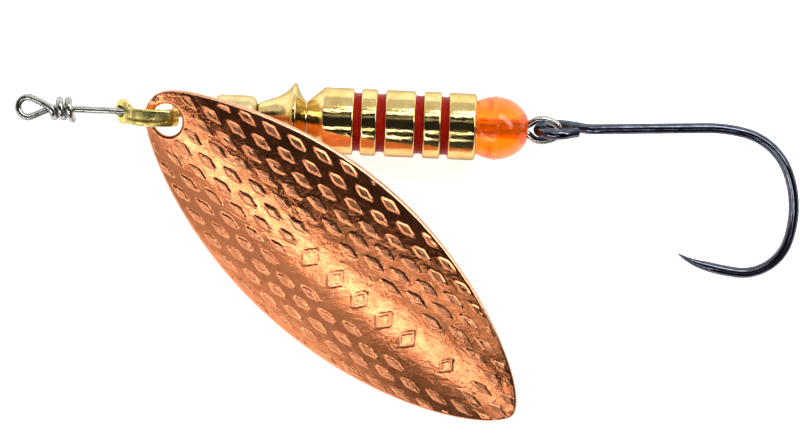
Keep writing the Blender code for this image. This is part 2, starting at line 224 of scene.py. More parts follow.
def add(tree, kind, settings=None, **inputs):
    """A node with its properties and inputs set. An input is a number, a colour or another node's socket."""
    node = tree.nodes.new("ShaderNode" + kind)
    for key, value in (settings or {}).items():
        setattr(node, key, value)
    for key, value in inputs.items():
        join(tree, node.inputs[key.replace("_", " ")], value)
    return node


def join(tree, socket, value):
    if isinstance(value, bpy.types.NodeSocket):
        tree.links.new(value, socket)
    else:
        socket.default_value = value


def colour(r, g, b):
    return (r, g, b, 1)


def grey(level):
    return (level, level, level, 1)


def mix_colour(tree, factor, a, b):
    node = tree.nodes.new("ShaderNodeMix")
    node.data_type = "RGBA"
    join(tree, node.inputs[0], factor)
    join(tree, node.inputs[6], a)
    join(tree, node.inputs[7], b)
    return node.outputs[2]


def span(tree, value, low, high, to_low=0.0, to_high=1.0):
    """value from low..high to to_low..to_high, smoothly, and no further."""
    node = add(tree, "MapRange", {"interpolation_type": "SMOOTHSTEP"}, Value=value, From_Min=low,
               From_Max=high, To_Min=to_low, To_Max=to_high)
    return node.outputs["Result"]


def place(tree, scale=(1, 1, 1)):
    """Object space, in which one unit is a metre, stretched by scale."""
    where = add(tree, "TexCoord").outputs["Object"]
    return add(tree, "Mapping", Vector=where, Scale=scale).outputs["Vector"]


def noise(tree, where, size, detail=3.0, rough=0.5, distortion=0.0):
    """Noise whose features are about size millimetres across."""
    node = add(tree, "TexNoise", Vector=where, Scale=1 / (size * MM), Detail=detail, Roughness=rough,
               Distortion=distortion)
    return node.outputs["Fac"]


def bump(tree, height, depth, under=None):
    """A bump of depth millimetres, over another one if it is given."""
    node = add(tree, "Bump", Height=height, Distance=depth * MM, Strength=1.0)
    if under:
        tree.links.new(under, node.inputs["Normal"])
    return node.outputs["Normal"]


def finish(name, metallic, edge=1.0):
    """A material to fill in. edge is how much gloss a metal keeps where it is seen at a grazing angle; below
    1 it paints shade along a metal's outline.
    """
    made = bpy.data.materials.new(name)
    made.use_nodes = True
    shader = made.node_tree.nodes["Principled BSDF"]
    shader.inputs["Metallic"].default_value = metallic
    # Painted shade: an edge below 1 darkens the metal's gloss at grazing angles, standing in for dark
    # surroundings.
    shader.inputs["Specular Tint"].default_value = (edge, edge, edge, 1)
    return made, made.node_tree, shader.inputs


def attribute(tree, name):
    return add(tree, "Attribute", {"attribute_name": name}).outputs["Fac"]


def drawn_lines(tree, stretch, scale):
    """Fine lines that run along a swept piece."""
    lines = add(tree, "CombineXYZ", X=attribute(tree, "along"), Y=attribute(tree, "around")).outputs["Vector"]
    stretched = add(tree, "Mapping", Vector=lines, Scale=stretch).outputs["Vector"]
    return add(tree, "TexNoise", Vector=stretched, Scale=scale, Detail=4.0, Roughness=0.6).outputs["Fac"]


def steel_finish():
    """Bright drawn wire, with fine die lines along it and a little grey handling dirt."""
    made, tree, inputs = finish("bright_wire", 1.0, 0.15)
    drawn = drawn_lines(tree, (0.35, 7.0, 1), 2.0)
    dirt = noise(tree, place(tree), 0.9, 4.0, 0.6)
    tone = mix_colour(tree, span(tree, dirt, 0.35, 0.75), colour(0.52, 0.5, 0.46), colour(0.22, 0.21, 0.19))
    bright = mix_colour(tree, span(tree, drawn, 0.3, 0.7), tone, colour(0.64, 0.63, 0.6))
    join(tree, inputs["Base Color"], bright)
    join(tree, inputs["Roughness"], span(tree, dirt, 0.3, 0.8, 0.08, 0.22))
    join(tree, inputs["Normal"], bump(tree, drawn, 0.004))
    return made


def brass_finish(name, light, dark, low, high, line_depth, line_size=0.11):
    """Turned brass: fine tool lines round the shaft, a thin tarnish in patches and small dark specks.

    Its colour goes from light to dark, and its roughness from low to high.
    """
    made, tree, inputs = finish(name, 1.0, 0.45)
    rings = noise(tree, place(tree, (1, 0.02, 0.02)), line_size, 4.0, 0.7)
    patches = noise(tree, place(tree), 1.6, 4.0, 0.6, 0.4)
    specks = noise(tree, place(tree), 0.13, 2.0, 0.5)
    base = mix_colour(tree, span(tree, patches, 0.35, 0.7), light, dark)
    spotted = mix_colour(tree, span(tree, specks, 0.68, 0.78), base, colour(0.23, 0.13, 0.05))
    lined = mix_colour(tree, span(tree, rings, 0.4, 0.75, 0, 0.4), spotted, dark)
    join(tree, inputs["Base Color"], lined)
    join(tree, inputs["Roughness"], span(tree, patches, 0.3, 0.75, low, high))
    waves = bump(tree, noise(tree, place(tree, (0.7, 1, 1)), 0.55, 3.0, 0.6), 0.022)
    join(tree, inputs["Normal"], bump(tree, rings, line_depth, waves))
    return made


def copper_finish():
    """Plated copper: mottled and grainy, more satin on the embossing with a brighter painted highlight on its
    tops, worn at the rim.
    """
    made, tree, inputs = finish("copper_plate", 1.0, 0.6)
    raised = attribute(tree, "raised")
    rim = attribute(tree, "rim")
    grain = noise(tree, place(tree), 0.11, 3.0, 0.6)
    cloud = noise(tree, place(tree), 1.5, 5.0, 0.65, 0.6)
    base = mix_colour(tree, span(tree, cloud, 0.3, 0.72), colour(0.86, 0.3, 0.125), colour(0.7, 0.21, 0.08))
    fine = mix_colour(tree, span(tree, grain, 0.45, 0.75, 0, 0.5), base, colour(0.93, 0.43, 0.22))
    dots = noise(tree, place(tree), 0.2, 2.0)
    spots = mix_colour(tree, span(tree, dots, 0.7, 0.8, 0, 0.7), fine, colour(0.3, 0.1, 0.05))
    # Painted highlight: the raised tops get a brighter copper colour, standing in for the light they catch.
    painted_highlight_tops = mix_colour(tree, span(tree, raised, 0.3, 0.6, 0, 0.5), spots, colour(0.95, 0.4, 0.2))
    join(tree, inputs["Base Color"], mix_colour(tree, rim, painted_highlight_tops, colour(0.9, 0.45, 0.27)))
    satin = span(tree, cloud, 0.3, 0.75, 0.14, 0.24)
    rise = span(tree, raised, 0.3, 0.6, 0.0, 0.1)
    total = add(tree, "Math", {"operation": "ADD"})
    join(tree, total.inputs[0], satin)
    join(tree, total.inputs[1], rise)
    join(tree, inputs["Roughness"], total.outputs["Value"])
    ripples = bump(tree, noise(tree, place(tree), 1.3, 3.0, 0.6), 0.06)
    join(tree, inputs["Normal"], bump(tree, grain, 0.014, ripples))
    return made


def enamel_finish():
    """Thick glossy red enamel, brushed in by hand, with a few pits."""
    made, tree, inputs = finish("red_enamel", 0.0)
    streaks = noise(tree, place(tree), 0.5, 4.0, 0.6, 0.5)
    thin = span(tree, streaks, 0.3, 0.7)
    red = mix_colour(tree, thin, colour(0.42, 0.01, 0.002), colour(0.3, 0.006, 0.002))
    join(tree, inputs["Base Color"], red)
    join(tree, inputs["Roughness"], span(tree, streaks, 0.35, 0.7, 0.12, 0.3))
    inputs["Specular IOR Level"].default_value = 0.06
    pits = noise(tree, place(tree), 0.28, 3.0, 0.6)
    join(tree, inputs["Normal"], bump(tree, pits, 0.12))
    return made


def bead_finish():
    """Clear orange plastic, a little cloudy, with faint rings from its mould, fine scratches and a faint
    painted glow.
    """
    made, tree, inputs = finish("orange_bead", 0.0)
    cloud = noise(tree, place(tree), 1.2, 3.0, 0.5, 0.3)
    deep = span(tree, cloud, 0.3, 0.7)
    orange = mix_colour(tree, deep, colour(1.0, 0.32, 0.006), colour(0.96, 0.24, 0.003))
    join(tree, inputs["Base Color"], orange)
    rings = noise(tree, place(tree, (1, 0.03, 0.03)), 0.2, 3.0, 0.6)
    join(tree, inputs["Roughness"], span(tree, rings, 0.3, 0.7, 0.05, 0.16))
    inputs["Transmission Weight"].default_value = 0.9
    inputs["IOR"].default_value = 1.49
    inputs["Specular IOR Level"].default_value = 0.2
    # Painted glow: a faint orange emission stands in for light passing through the bead.
    inputs["Emission Color"].default_value = (1.0, 0.2, 0.002, 1)
    inputs["Emission Strength"].default_value = 0.09
    scratches = noise(tree, place(tree, (0.3, 1, 1)), 0.15, 3.0, 0.6)
    join(tree, inputs["Normal"], bump(tree, scratches, 0.012, bump(tree, rings, 0.01)))
    return made


def nickel_finish():
    """Black nickel plate over forged wire: blue-grey, fairly glossy, with fine lines along it."""
    made, tree, inputs = finish("black_nickel_plate", 1.0, 0.3)
    drawn = drawn_lines(tree, (0.3, 5.0, 1), 2.2)
    cloud = noise(tree, place(tree), 0.8, 4.0, 0.6)
    patches = span(tree, cloud, 0.3, 0.7)
    base = mix_colour(tree, patches, colour(0.145, 0.158, 0.2), colour(0.075, 0.082, 0.105))
    lined = mix_colour(tree, span(tree, drawn, 0.5, 0.8, 0, 0.6), base, colour(0.22, 0.23, 0.27))
    join(tree, inputs["Base Color"], lined)
    join(tree, inputs["Roughness"], span(tree, cloud, 0.3, 0.75, 0.06, 0.14))
    join(tree, inputs["Normal"], bump(tree, drawn, 0.003))
    return made


# Meshes

def piece(name, points, faces, finish_used, body, node=None, values=None, sharp=32):
    """A mesh in row space that rides on a body. values are extra numbers for each point."""
    data = bpy.data.meshes.new(name)
    data.from_pydata([tuple(p) for p in points], [], faces)
    data.validate()
    for key, numbers in (values or {}).items():
        data.attributes.new(key, "FLOAT", "POINT").data.foreach_set("value", np.asarray(numbers, np.float32))
    data.materials.append(finish_used)
    data.shade_smooth()
    data.set_sharp_from_angle(angle=math.radians(sharp))
    data.update()
    made = bpy.data.objects.new(name, data)
    bpy.context.scene.collection.objects.link(made)
    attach(made, body)
    if node:
        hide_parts(node)
    return made


def smooth_path(points, steps):
    """Points along a smooth curve through the given ones."""
    given = [Vector(p) for p in points]
    ends = [2 * given[0] - given[1]] + given + [2 * given[-1] - given[-2]]
    path = []
    for i in range(1, len(ends) - 2):
        a, b, c, d = ends[i - 1:i + 3]
        for k in range(steps):
            t = k / steps
            path.append(0.5 * (2 * b + (c - a) * t + (2 * a - 5 * b + 4 * c - d) * t ** 2
                               + (3 * b - a - 3 * c + d) * t ** 3))
    return path + [given[-1]]


def lengths_along(path):
    done = [0.0]
    for a, b in zip(path, path[1:]):
        done.append(done[-1] + (b - a).length)
    return done


def tube_faces(rings, sides):
    """Faces of a closed tube whose points come ring by ring."""
    faces = []
    for i in range(rings - 1):
        for k in range(sides):
            n = (k + 1) % sides
            faces.append((i * sides + k, i * sides + n, (i + 1) * sides + n, (i + 1) * sides + k))
    last = (rings - 1) * sides
    return faces + [tuple(range(sides))[::-1], tuple(range(last, last + sides))]


def ahead_at(path, i):
    """The direction of a path at its i-th point."""
    return (path[min(i + 1, len(path) - 1)] - path[max(i - 1, 0)]).normalized()


def sweep(path, radius, space, radii=None, dome=0.35):
    """A round wire along a path, with domed ends. radii are shares of radius."""
    sides = WIRE_SIDES
    path = [Vector(p) for p in path]
    done = lengths_along(path)
    heading = (path[1] - path[0]).normalized()
    side = heading.orthogonal().normalized()
    rings = []
    for i, spot in enumerate(path):
        ahead = ahead_at(path, i)
        side = (side - ahead * side.dot(ahead)).normalized()
        rings.append((spot, ahead, side.copy(), radius * (radii[i] if radii else 1), done[i]))
    for first in (True, False):
        spot, ahead, side, r, at = rings[0] if first else rings[-1]
        out = -ahead if first else ahead
        caps = [(spot + out * r * dome * (1 - share ** 2), ahead, side, r * share, at)
                for share in (0.92, 0.6, 0.2)]
        rings = caps[::-1] + rings if first else rings + caps
    points, along, around = [], [], []
    for spot, ahead, side, r, at in rings:
        other = ahead.cross(side)
        for k in range(sides):
            a = TURN * k / sides
            points.append(space @ ((spot + (side * math.cos(a) + other * math.sin(a)) * r) * MM))
            along.append(at)
            around.append(abs(2 * k / sides - 1) * 3)
    return points, tube_faces(len(rings), sides), {"along": along, "around": around}


def rounded(profile, radius, steps=4):
    """A closed profile with its corners rounded by up to radius. Nearly straight corners stay."""
    made = []
    count = len(profile)
    for i in range(count):
        before, here, after = (Vector(profile[(i + k) % count]) for k in (-1, 0, 1))
        to_before, to_after = before - here, after - here
        doubled = to_before.length < 1e-6 or to_after.length < 1e-6
        if doubled or to_before.angle(to_after) > math.radians(155):
            made.append(here)
            continue
        reach = min(radius, 0.45 * to_before.length, 0.45 * to_after.length)
        start = here + to_before.normalized() * reach
        stop = here + to_after.normalized() * reach
        for k in range(steps + 1):
            t = k / steps
            made.append(start * (1 - t) ** 2 + here * 2 * t * (1 - t) + stop * t * t)
    return made


def turned(name, profile, finish_used, body, node=None, segments=144, sharp=32):
    """A solid turned about the shaft from a closed profile of (station, radius)."""
    profile = [Vector(p) for p in profile]
    loop = len(profile)
    points, faces = [], []
    for x, r in profile:
        for k in range(segments):
            a = TURN * k / segments
            points.append(SHAFT_SPACE @ (Vector((x, r * math.cos(a), r * math.sin(a))) * MM))
    area = sum(a.x * b.y - b.x * a.y for a, b in zip(profile, profile[1:] + profile[:1]))
    for i in range(loop):
        j = (i + 1) % loop
        for k in range(segments):
            n = (k + 1) % segments
            face = (i * segments + k, j * segments + k, j * segments + n, i * segments + n)
            faces.append(face if area > 0 else face[::-1])
    piece(name, points, faces, finish_used, body, node, sharp=sharp)


def make_bearing_bead(finish_used):
    start, end = station("bearing_bead", 0), station("bearing_bead", 1) + STACK_FILL
    shoulder = radius_of("bearing_bead") - BEARING_CORNER
    points = [(start, BORE_R)]
    for k in range(13):
        a = math.radians(180 - 90 * k / 12)
        points.append((start + BEARING_CORNER * (1 + math.cos(a)), shoulder + BEARING_CORNER * math.sin(a)))
    for k in range(13):
        a = math.radians(90 - 90 * k / 12)
        points.append((end - BEARING_CORNER * (1 - math.cos(a)), shoulder + BEARING_CORNER * math.sin(a)))
    turned("bearing_bead_look", rounded(points + [(end, BORE_R)], 0.12), finish_used, "bearing_bead",
           "bearing_bead")


def make_bell(finish_used):
    start, end, rim = station("bell", 0) - STACK_FILL, station("bell", 1) + STACK_FILL, radius_of("bell")
    points = [(start, BORE_R), (start, BELL_NECK_R - 0.15), (start + 0.12, BELL_NECK_R + 0.02)]
    steps = 28
    for k in range(2, steps + 1):
        t = k / steps
        flare = (rim - BELL_NECK_R) * (0.58 * t + 0.42 * t ** 5)
        points.append((start + BELL_RIM_AT * t, BELL_NECK_R + flare))
    back = start + BELL_RIM_AT + BELL_RIM_W
    for k in range(17):
        t = k / 16
        points.append((back + (end - back) * t, BELL_BACK_R + (rim - BELL_BACK_R) * (1 - t) ** 1.6))
    turned("bell_look", rounded(points + [(end, BORE_R)], 0.1), finish_used, "bell", "bell")


def make_body(finish_used, enamel):
    """The body and the enamel in its grooves."""
    start, outer = station("body", 0), radius_of("body")
    points = [(start - STACK_FILL, BORE_R), (start - STACK_FILL, BODY_NOSE_R - STACK_FILL)]
    x = start + BODY_NOSE_LENGTH
    floor = outer - GROOVE_FLOOR
    grooves = []
    for i, land in enumerate(BODY_LANDS):
        points += [(x, outer) if i == 0 else (x + LAND_CHAMFER, outer)]
        points += [(x + land - LAND_CHAMFER, outer), (x + land, outer - LAND_CHAMFER)]
        x += land
        if i < len(BODY_GROOVES):
            points += [(x, floor), (x + BODY_GROOVES[i], floor), (x + BODY_GROOVES[i], outer - LAND_CHAMFER)]
            grooves.append((x, x + BODY_GROOVES[i]))
            x += BODY_GROOVES[i]
    back = x + STACK_FILL
    inner_step = x - TAIL_LENGTH - BODY_TAIL_ROOM
    points += [(back, outer - BODY_BACK_STEP), (back, TAIL_BORE_R)]
    points += [(inner_step, TAIL_BORE_R), (inner_step, BORE_R)]
    turned("body_look", rounded(points, 0.07), finish_used, "body", "body")
    surface = outer - ENAMEL_DEPTH
    under = floor + ENAMEL_FIT
    for i, (low, high) in enumerate(grooves):
        middle = (low + high) / 2
        half = (high - low) / 2 - ENAMEL_FIT
        top = [(middle + half * math.sin(a), surface + ENAMEL_RISE * abs(math.sin(a)) ** 4)
               for a in [math.pi * (k / 12 - 0.5) for k in range(13)]]
        ring = [(low + ENAMEL_FIT, under)] + top + [(high - ENAMEL_FIT, under)]
        turned(f"groove_enamel_{i + 1}", ring, enamel, "body", segments=120, sharp=50)


def make_tail_bead(finish_used):
    start, end = station("tail_bead", 0) - STACK_FILL, station("tail_bead", 1)
    widest = radius_of("tail_bead")
    middle = start + STACK_FILL + TAIL_BEAD_FRONT
    points = [(start, TAIL_BORE_R)]
    steps = 48
    for k in range(steps + 1):
        x = start - middle + (end - start) * k / steps
        ridge = SEAM_HEIGHT * math.exp(-(x / SEAM_WIDTH) ** 2)
        oval = (widest - SEAM_HEIGHT) * math.sqrt(1 - (x / TAIL_BEAD_HALF_LENGTH) ** 2)
        points.append((middle + x, oval + ridge))
    turned("tail_bead_look", rounded(points + [(end, TAIL_BORE_R)], 0.12), finish_used, "tail_bead",
           "tail_bead")


def eye_and_wrap():
    """The wire from its cut stub, round the shaft, through the line eye and back on to the axis."""
    coil_r = WIRE_D + COIL_GAP
    eye_r = (EYE_OUTER_W - WIRE_D) / 2
    eye_x = WIRE_D / 2 + eye_r
    last = EYE_NECK + WRAP_TURNS * WRAP_PITCH
    wrap = TURN * WRAP_TURNS + math.radians(STUB_TURN)
    leave = math.radians(90 + STUB_TURN)
    off = Vector((STUB_LEAN, -math.sin(leave), math.cos(leave))).normalized()
    start = Vector((last + WRAP_PITCH * STUB_TURN / 360, coil_r * math.cos(leave), coil_r * math.sin(leave)))
    path = [start + off * STUB_LENGTH * k / 4 for k in (4, 3, 2, 1)]
    steps = 36 * WRAP_TURNS
    for k in range(steps + 1):
        left = wrap * (1 - k / steps)
        a = math.radians(90) + left
        path.append(Vector((EYE_NECK + WRAP_PITCH * left / TURN, coil_r * math.cos(a), coil_r * math.sin(a))))
    strand = [path[-1]]
    strand.append(Vector((EYE_NECK - 0.75, 0.36, 0.62 * coil_r)))
    for angle in (58, 90, 125, 160, 195, 230, 265, 300):
        a = math.radians(angle)
        fall = 0.3 * coil_r * max(0.0, math.cos(a / 2))
        strand.append(Vector((eye_x + eye_r * math.cos(a), eye_r * math.sin(a), fall)))
    strand.append(Vector((EYE_NECK - 0.75, -0.3, 0)))
    strand.append(Vector((EYE_NECK + 0.25, 0, 0)))
    strand.append(Vector((EYE_NECK + 1.5, 0, 0)))
    return path[:-1] + smooth_path(strand, 8)


def rear_loop(bead_end):
    """The wire's rear end: off the axis, out of the bead, round the loop and back into the body."""
    half = (HOOK_WIRE_D + WIRE_D) / 2 + EYE_GAP
    far = bead_end + REAR_LOOP_LENGTH
    inside = station("tail_bead", 0)
    strand = [(inside - TAIL_LENGTH, 0), (inside - TAIL_LENGTH + 1.6, 0.05),
              (inside - TAIL_LENGTH + 3.0, TAIL_SPREAD)]
    out = [(inside, TAIL_SPREAD), (bead_end - 0.6, TAIL_SPREAD), (bead_end, TAIL_SPREAD),
           (bead_end + 0.43, 0.7 * half), (bead_end + 0.9, half), (bead_end + 1.7, 1.06 * half),
           (far - 0.42, 0.75 * half), (far - 0.08, 0.36 * half)]
    back = [(x, -y) for x, y in reversed(out)]
    points = strand + out + [(far, 0)] + back + [(inside - TAIL_LENGTH + 3.4, -TAIL_SPREAD)]
    tilt = rotation(REAR_LOOP_TILT, "X")
    return [tilt @ p for p in smooth_path([(x, y, 0) for x, y in points], 8)]


def make_shaft_wire(finish_used):
    path = eye_and_wrap() + rear_loop(station("tail_bead", 1))
    points, faces, values = sweep(path, WIRE_D / 2, SHAFT_SPACE, dome=0.25)
    piece("shaft_wire_look", points, faces, finish_used, "shaft", "shaft_wire", values, 50)


def clevis_path():
    """The strap's middle line in the clevis plane: station, height above the shaft's axis."""
    front = math.radians(FRONT_EAR_ANGLE)
    rear = math.radians(REAR_EAR_ANGLE)
    lead = Vector((math.cos(front), math.sin(front), 0))
    trail = Vector((math.cos(rear), math.sin(rear), 0))
    first = Vector((FRONT_EAR, 0, 0))
    last = Vector((REAR_EAR, 0, 0))
    length = REAR_EAR - FRONT_EAR
    shape = ((0.18, 0.7), (0.35, 0.94), (0.66, 1.0), (0.93, 0.88))
    top = [(FRONT_EAR + x * length, z * BOW_HEIGHT, 0) for x, z in shape]
    turn_in = last - trail * 1.55 + Vector((0.08, 0, 0))
    ear = [first - lead * EAR_R, first, first + lead * EAR_R]
    return smooth_path(ear + top + [turn_in, last, last + trail * EAR_R], 14)


def strap_outline(half, fold):
    """The strap's section as (across, out) points: rounded edges, and a fold line that fades at the ears."""
    corner = STRAP_T * 0.42
    top = STRAP_T / 2
    points = []
    for cx, cy, start in ((half - corner, top - corner, 0), (corner - half, top - corner, 90),
                          (corner - half, corner - top, 180), (half - corner, corner - top, 270)):
        for k in range(5):
            a = math.radians(start + 90 * k / 4)
            points.append((cx + corner * math.cos(a), cy + corner * math.sin(a)))
        if start == 0:
            room = min(1.0, half / (STRAP_W / 2))
            for k in range(9):
                t = k / 4 - 1
                dip = fold * FOLD_DEPTH * (1 - t * t) ** 1.5
                points.append((FOLD_AT * room - t * FOLD_W / 2, top - dip))
    return points


def make_clevis(finish_used):
    path = clevis_path()
    done = lengths_along(path)
    space = SHAFT_SPACE @ rotation(CLEVIS_LEAN, "X")
    points, along, around = [], [], []
    for i, spot in enumerate(path):
        ahead = ahead_at(path, i)
        normal = Vector((-ahead.y, ahead.x, 0))
        from_end = min(done[i], done[-1] - done[i])
        ear = math.sqrt(max(0.0, EAR_R ** 2 - (EAR_R - min(from_end, 2 * EAR_R)) ** 2))
        half = max(ear, STRAP_W / 2 if from_end > EAR_R else 0, 0.35)
        fold = float(smoothstep(1.6 * EAR_R, 2.6 * EAR_R, from_end))
        for across, out in strap_outline(half, fold):
            at = spot + normal * out
            points.append(space @ (Vector((at.x, across, at.y)) * MM))
            along.append(done[i])
            around.append(across * 4)
    faces = [face[::-1] for face in tube_faces(len(path), len(points) // len(path))]
    made = piece("clevis_look", points, faces, finish_used, "clevis", "clevis",
                 {"along": along, "around": around}, 40)
    bore = cutter(BORE_R, (FRONT_EAR - 3, REAR_EAR + 3), space @ rotation(90, "Y"), 48)
    bore_out(made, bore)


def cutter(radius, reach, space, segments):
    """A cylinder along Z of its space, only used to cut a hole."""
    low, high = reach
    rim = [(radius * math.cos(TURN * k / segments), radius * math.sin(TURN * k / segments))
           for k in range(segments)]
    points = [space @ (Vector((x, y, z)) * MM) for z in (low, high) for x, y in rim]
    faces = [tuple(range(segments))[::-1], tuple(range(segments, 2 * segments))]
    faces += [(k, (k + 1) % segments, segments + (k + 1) % segments, segments + k) for k in range(segments)]
    data = bpy.data.meshes.new("cutter")
    data.from_pydata([tuple(p) for p in points], [], faces)
    made = bpy.data.objects.new("cutter", data)
    bpy.context.scene.collection.objects.link(made)
    return made


def bore_out(target, tool):
    """Cuts the tool out of the target's mesh, then removes the tool."""
    change = target.modifiers.new("bore", "BOOLEAN")
    change.operation = "DIFFERENCE"
    change.solver = "EXACT"
    change.object = tool
    bpy.context.view_layer.update()
    graph = bpy.context.evaluated_depsgraph_get()
    ready = bpy.data.meshes.new_from_object(target.evaluated_get(graph))
    target.modifiers.clear()
    target.data = ready
    bpy.data.objects.remove(tool)


def blade_half_width(share):
    power = 0.617 + 0.01 * share - 0.1 * np.exp(-share / 0.06)
    return BLADE_WIDTH / 2 * np.sin(math.pi * share) ** power


def blade_height(along, across):
    half = BLADE_LENGTH / 2
    lengthwise = BLADE_DISH_LONG * (1 - ((along - half) / half) ** 2)
    return lengthwise - BLADE_DISH_CROSS * (across / (BLADE_WIDTH / 2)) ** 2


def lattice_row(y):
    """Which row of diamonds a place across the blade is on, as a whole number at a row's middle."""
    first = ROW_ZERO + ROW_STEP
    return np.where(y < first, (y - ROW_ZERO) / ROW_STEP, 1 + (y - first) / ROW_STEP_HIGH)


def row_place(row):
    first = ROW_ZERO + ROW_STEP
    return np.where(row < 1, ROW_ZERO + row * ROW_STEP, first + (row - 1) * ROW_STEP_HIGH)


def embossing(x, y):
    """How far each place on the blade is raised by the diamonds, from 0 to 1."""
    total = np.zeros_like(x)
    near = np.floor((x - DIAMOND_FIRST) / DIAMOND_STEP)
    for step in (0, 1):
        column = near + step
        middle = DIAMOND_FIRST + column * DIAMOND_STEP
        offset = np.where(np.mod(column, 2) == 1, 0.0, 0.5)
        row = np.round(lattice_row(y) - offset) + offset
        centre = row_place(row)
        share = np.abs(x - middle) / DIAMOND_HALF[0] + np.abs(y - centre) / DIAMOND_HALF[1]
        in_panel = (middle > PANEL[0]) & (middle < PANEL[1]) & (np.abs(centre) < PANEL_HALF)
        shape = smoothstep(0, 0.3, 1 - share) * (1 - DIAMOND_HOLLOW * smoothstep(0.4, 0.8, 1 - share))
        total = np.maximum(total, np.where(in_panel, 0, shape))
    return total


def marks(x, y):
    """A plain row of hollow lozenges in the smooth panel."""
    total = np.zeros_like(x)
    for middle, across, scale in [(at, MARKS_ACROSS, 1.0) for at in MARKS] + [(*MARK_LAST, MARK_LAST_SIZE)]:
        share = np.abs(x - middle) / MARK_HALF[0] + np.abs(y - across) / MARK_HALF[1]
        total = np.maximum(total, 1 - smoothstep(0.05, 0.19, np.abs(share / scale - 0.78)))
    return total


def make_blade(finish_used):
    """An embossed, dished plate with rounded edges, as two sheets joined round the rim."""
    steps = np.arange(BLADE_ROWS + 1) / BLADE_ROWS
    ends = 0.002
    share = ends + (1 - 2 * ends) * (0.45 * (1 - np.cos(math.pi * steps)) / 2 + 0.55 * steps)
    ratio = np.arange(BLADE_COLUMNS + 1) / BLADE_COLUMNS
    spread = 0.5 * np.sin(math.pi * (ratio - 0.5)) + 0.5 * (2 * ratio - 1)
    half = blade_half_width(share)
    along = np.repeat((share * BLADE_LENGTH)[:, None], BLADE_COLUMNS + 1, axis=1)
    across = half[:, None] * spread[None, :]
    slope = np.gradient(half, share * BLADE_LENGTH)
    inside = (half[:, None] - np.abs(across)) / np.sqrt(1 + slope[:, None] ** 2)
    inside = np.minimum(inside, np.minimum(along, BLADE_LENGTH - along) + 0.02)
    x = along - BLADE_HOLE_FROM_END
    y = across + BLADE_HOLE_OFFSET
    from_hole = np.hypot(x, y) - BLADE_HOLE_R
    keep = smoothstep(0.3, 0.6, inside) * smoothstep(0.4, 0.65, from_hole)
    raised = embossing(x, y) * keep
    motif = marks(x, y)
    level = float(blade_height(BLADE_HOLE_FROM_END, BLADE_HOLE_OFFSET))
    middle = blade_height(along, across) - level + DIAMOND_HEIGHT * raised + MARK_HEIGHT * motif
    round_r = BLADE_T / 2
    edge = np.sqrt(np.clip(1 - (1 - np.clip(inside / round_r, 0, 1)) ** 2, 0.0016, 1))
    lip = np.sqrt(np.clip(1 - 0.6 * (1 - np.clip(from_hole / 0.3, 0, 1)) ** 2, 0, 1))
    thick = BLADE_T / 2 * edge * lip
    rim = 1 - smoothstep(0.12, 0.4, inside)
    space = blade_space()
    points, values = [], {"raised": [], "rim": []}
    for side in (1, -1):
        spots = np.stack([x, y, middle + side * thick], axis=-1).reshape(-1, 3) * MM
        turn = np.array(space.to_3x3())
        points.append(spots @ turn.T + np.array(space.translation))
        values["raised"].append(np.maximum(raised, motif).ravel())
        values["rim"].append(rim.ravel())
    points = np.concatenate(points)
    values = {key: np.concatenate(parts) for key, parts in values.items()}
    width = BLADE_COLUMNS + 1
    under = (BLADE_ROWS + 1) * width
    faces = []
    for i in range(BLADE_ROWS):
        for k in range(BLADE_COLUMNS):
            a = i * width + k
            quad = (a, a + width, a + width + 1, a + 1)
            faces.append(quad)
            faces.append(tuple(v + under for v in quad[::-1]))
    rim_loop = [i * width for i in range(BLADE_ROWS + 1)]
    rim_loop += [BLADE_ROWS * width + k for k in range(1, width)]
    rim_loop += [i * width + BLADE_COLUMNS for i in range(BLADE_ROWS - 1, -1, -1)]
    rim_loop += [k for k in range(BLADE_COLUMNS - 1, 0, -1)]
    for a, b in zip(rim_loop, rim_loop[1:] + rim_loop[:1]):
        faces.append((b, a, a + under, b + under))
    made = piece("blade_look", points, faces, finish_used, "blade", "blade", values, 60)
    bore_out(made, cutter(BLADE_HOLE_R, (-3, 3), space, 96))


def blade_space():
    """The blade's own space: the middle of its hole at the origin, +X to its tip, +Z on the crown side."""
    lie = rotation(-BLADE_YAW, "Z") @ rotation(BLADE_PITCH, "Y") @ rotation(BLADE_ROLL, "X")
    normal = lie @ Vector((0, 0, 1))
    forward = Vector((-normal.z, 0, normal.x)).normalized()
    strip = Vector(JOINTS["blade_swing"]["pos_m"])
    hole = strip - forward * (BLADE_HOLE_R + BLADE_HOLE_FROM_END) / 2 * MM
    return Matrix.Translation(hole) @ lie


def hook_path():
    """The hook's middle line in its own space: shank along +X, bend towards -Y, eye round the origin."""
    eye = []
    twist = rotation(HOOK_EYE_TWIST, "X")
    end_angle = 300
    lead = 2 * HOOK_EYE_R
    steps = 48
    joint = HOOK_EYE_R * math.cos(math.radians(end_angle)), HOOK_EYE_R * math.sin(math.radians(end_angle))
    for ahead in (HOOK_EYE_END, HOOK_EYE_END * 0.66, HOOK_EYE_END * 0.33):
        eye.append((joint[0] + ahead, 0, joint[1] + ahead * math.tan(math.radians(30))))
    for k in range(steps + 1):
        a = math.radians(end_angle - (end_angle - 60) * k / steps)
        eye.append((HOOK_EYE_R * math.cos(a), 0, HOOK_EYE_R * math.sin(a)))
    path = [twist @ Vector((x, y, -z)) for x, y, z in eye]
    lead_in = [path[-1], twist @ Vector((lead * 0.55, 0, -lead * 0.24)), Vector((lead * 0.85, 0, -0.22)),
               Vector((lead * 1.15, 0, 0)), Vector((lead * 1.6, 0, 0)), Vector((HOOK_SHANK_END, 0, 0))]
    path = path[:-1] + smooth_path(lead_in, 10)
    heading = 0.0
    at = path[-1]
    for radius, degrees in HOOK_BENDS:
        pieces = max(4, round(degrees / 2.5))
        for _ in range(pieces):
            turn = math.radians(degrees / pieces)
            heading += turn / 2
            chord = 2 * radius * math.sin(turn / 2)
            at = at + Vector((math.cos(heading), -math.sin(heading), 0)) * chord
            heading += turn / 2
            path.append(at)
    return path


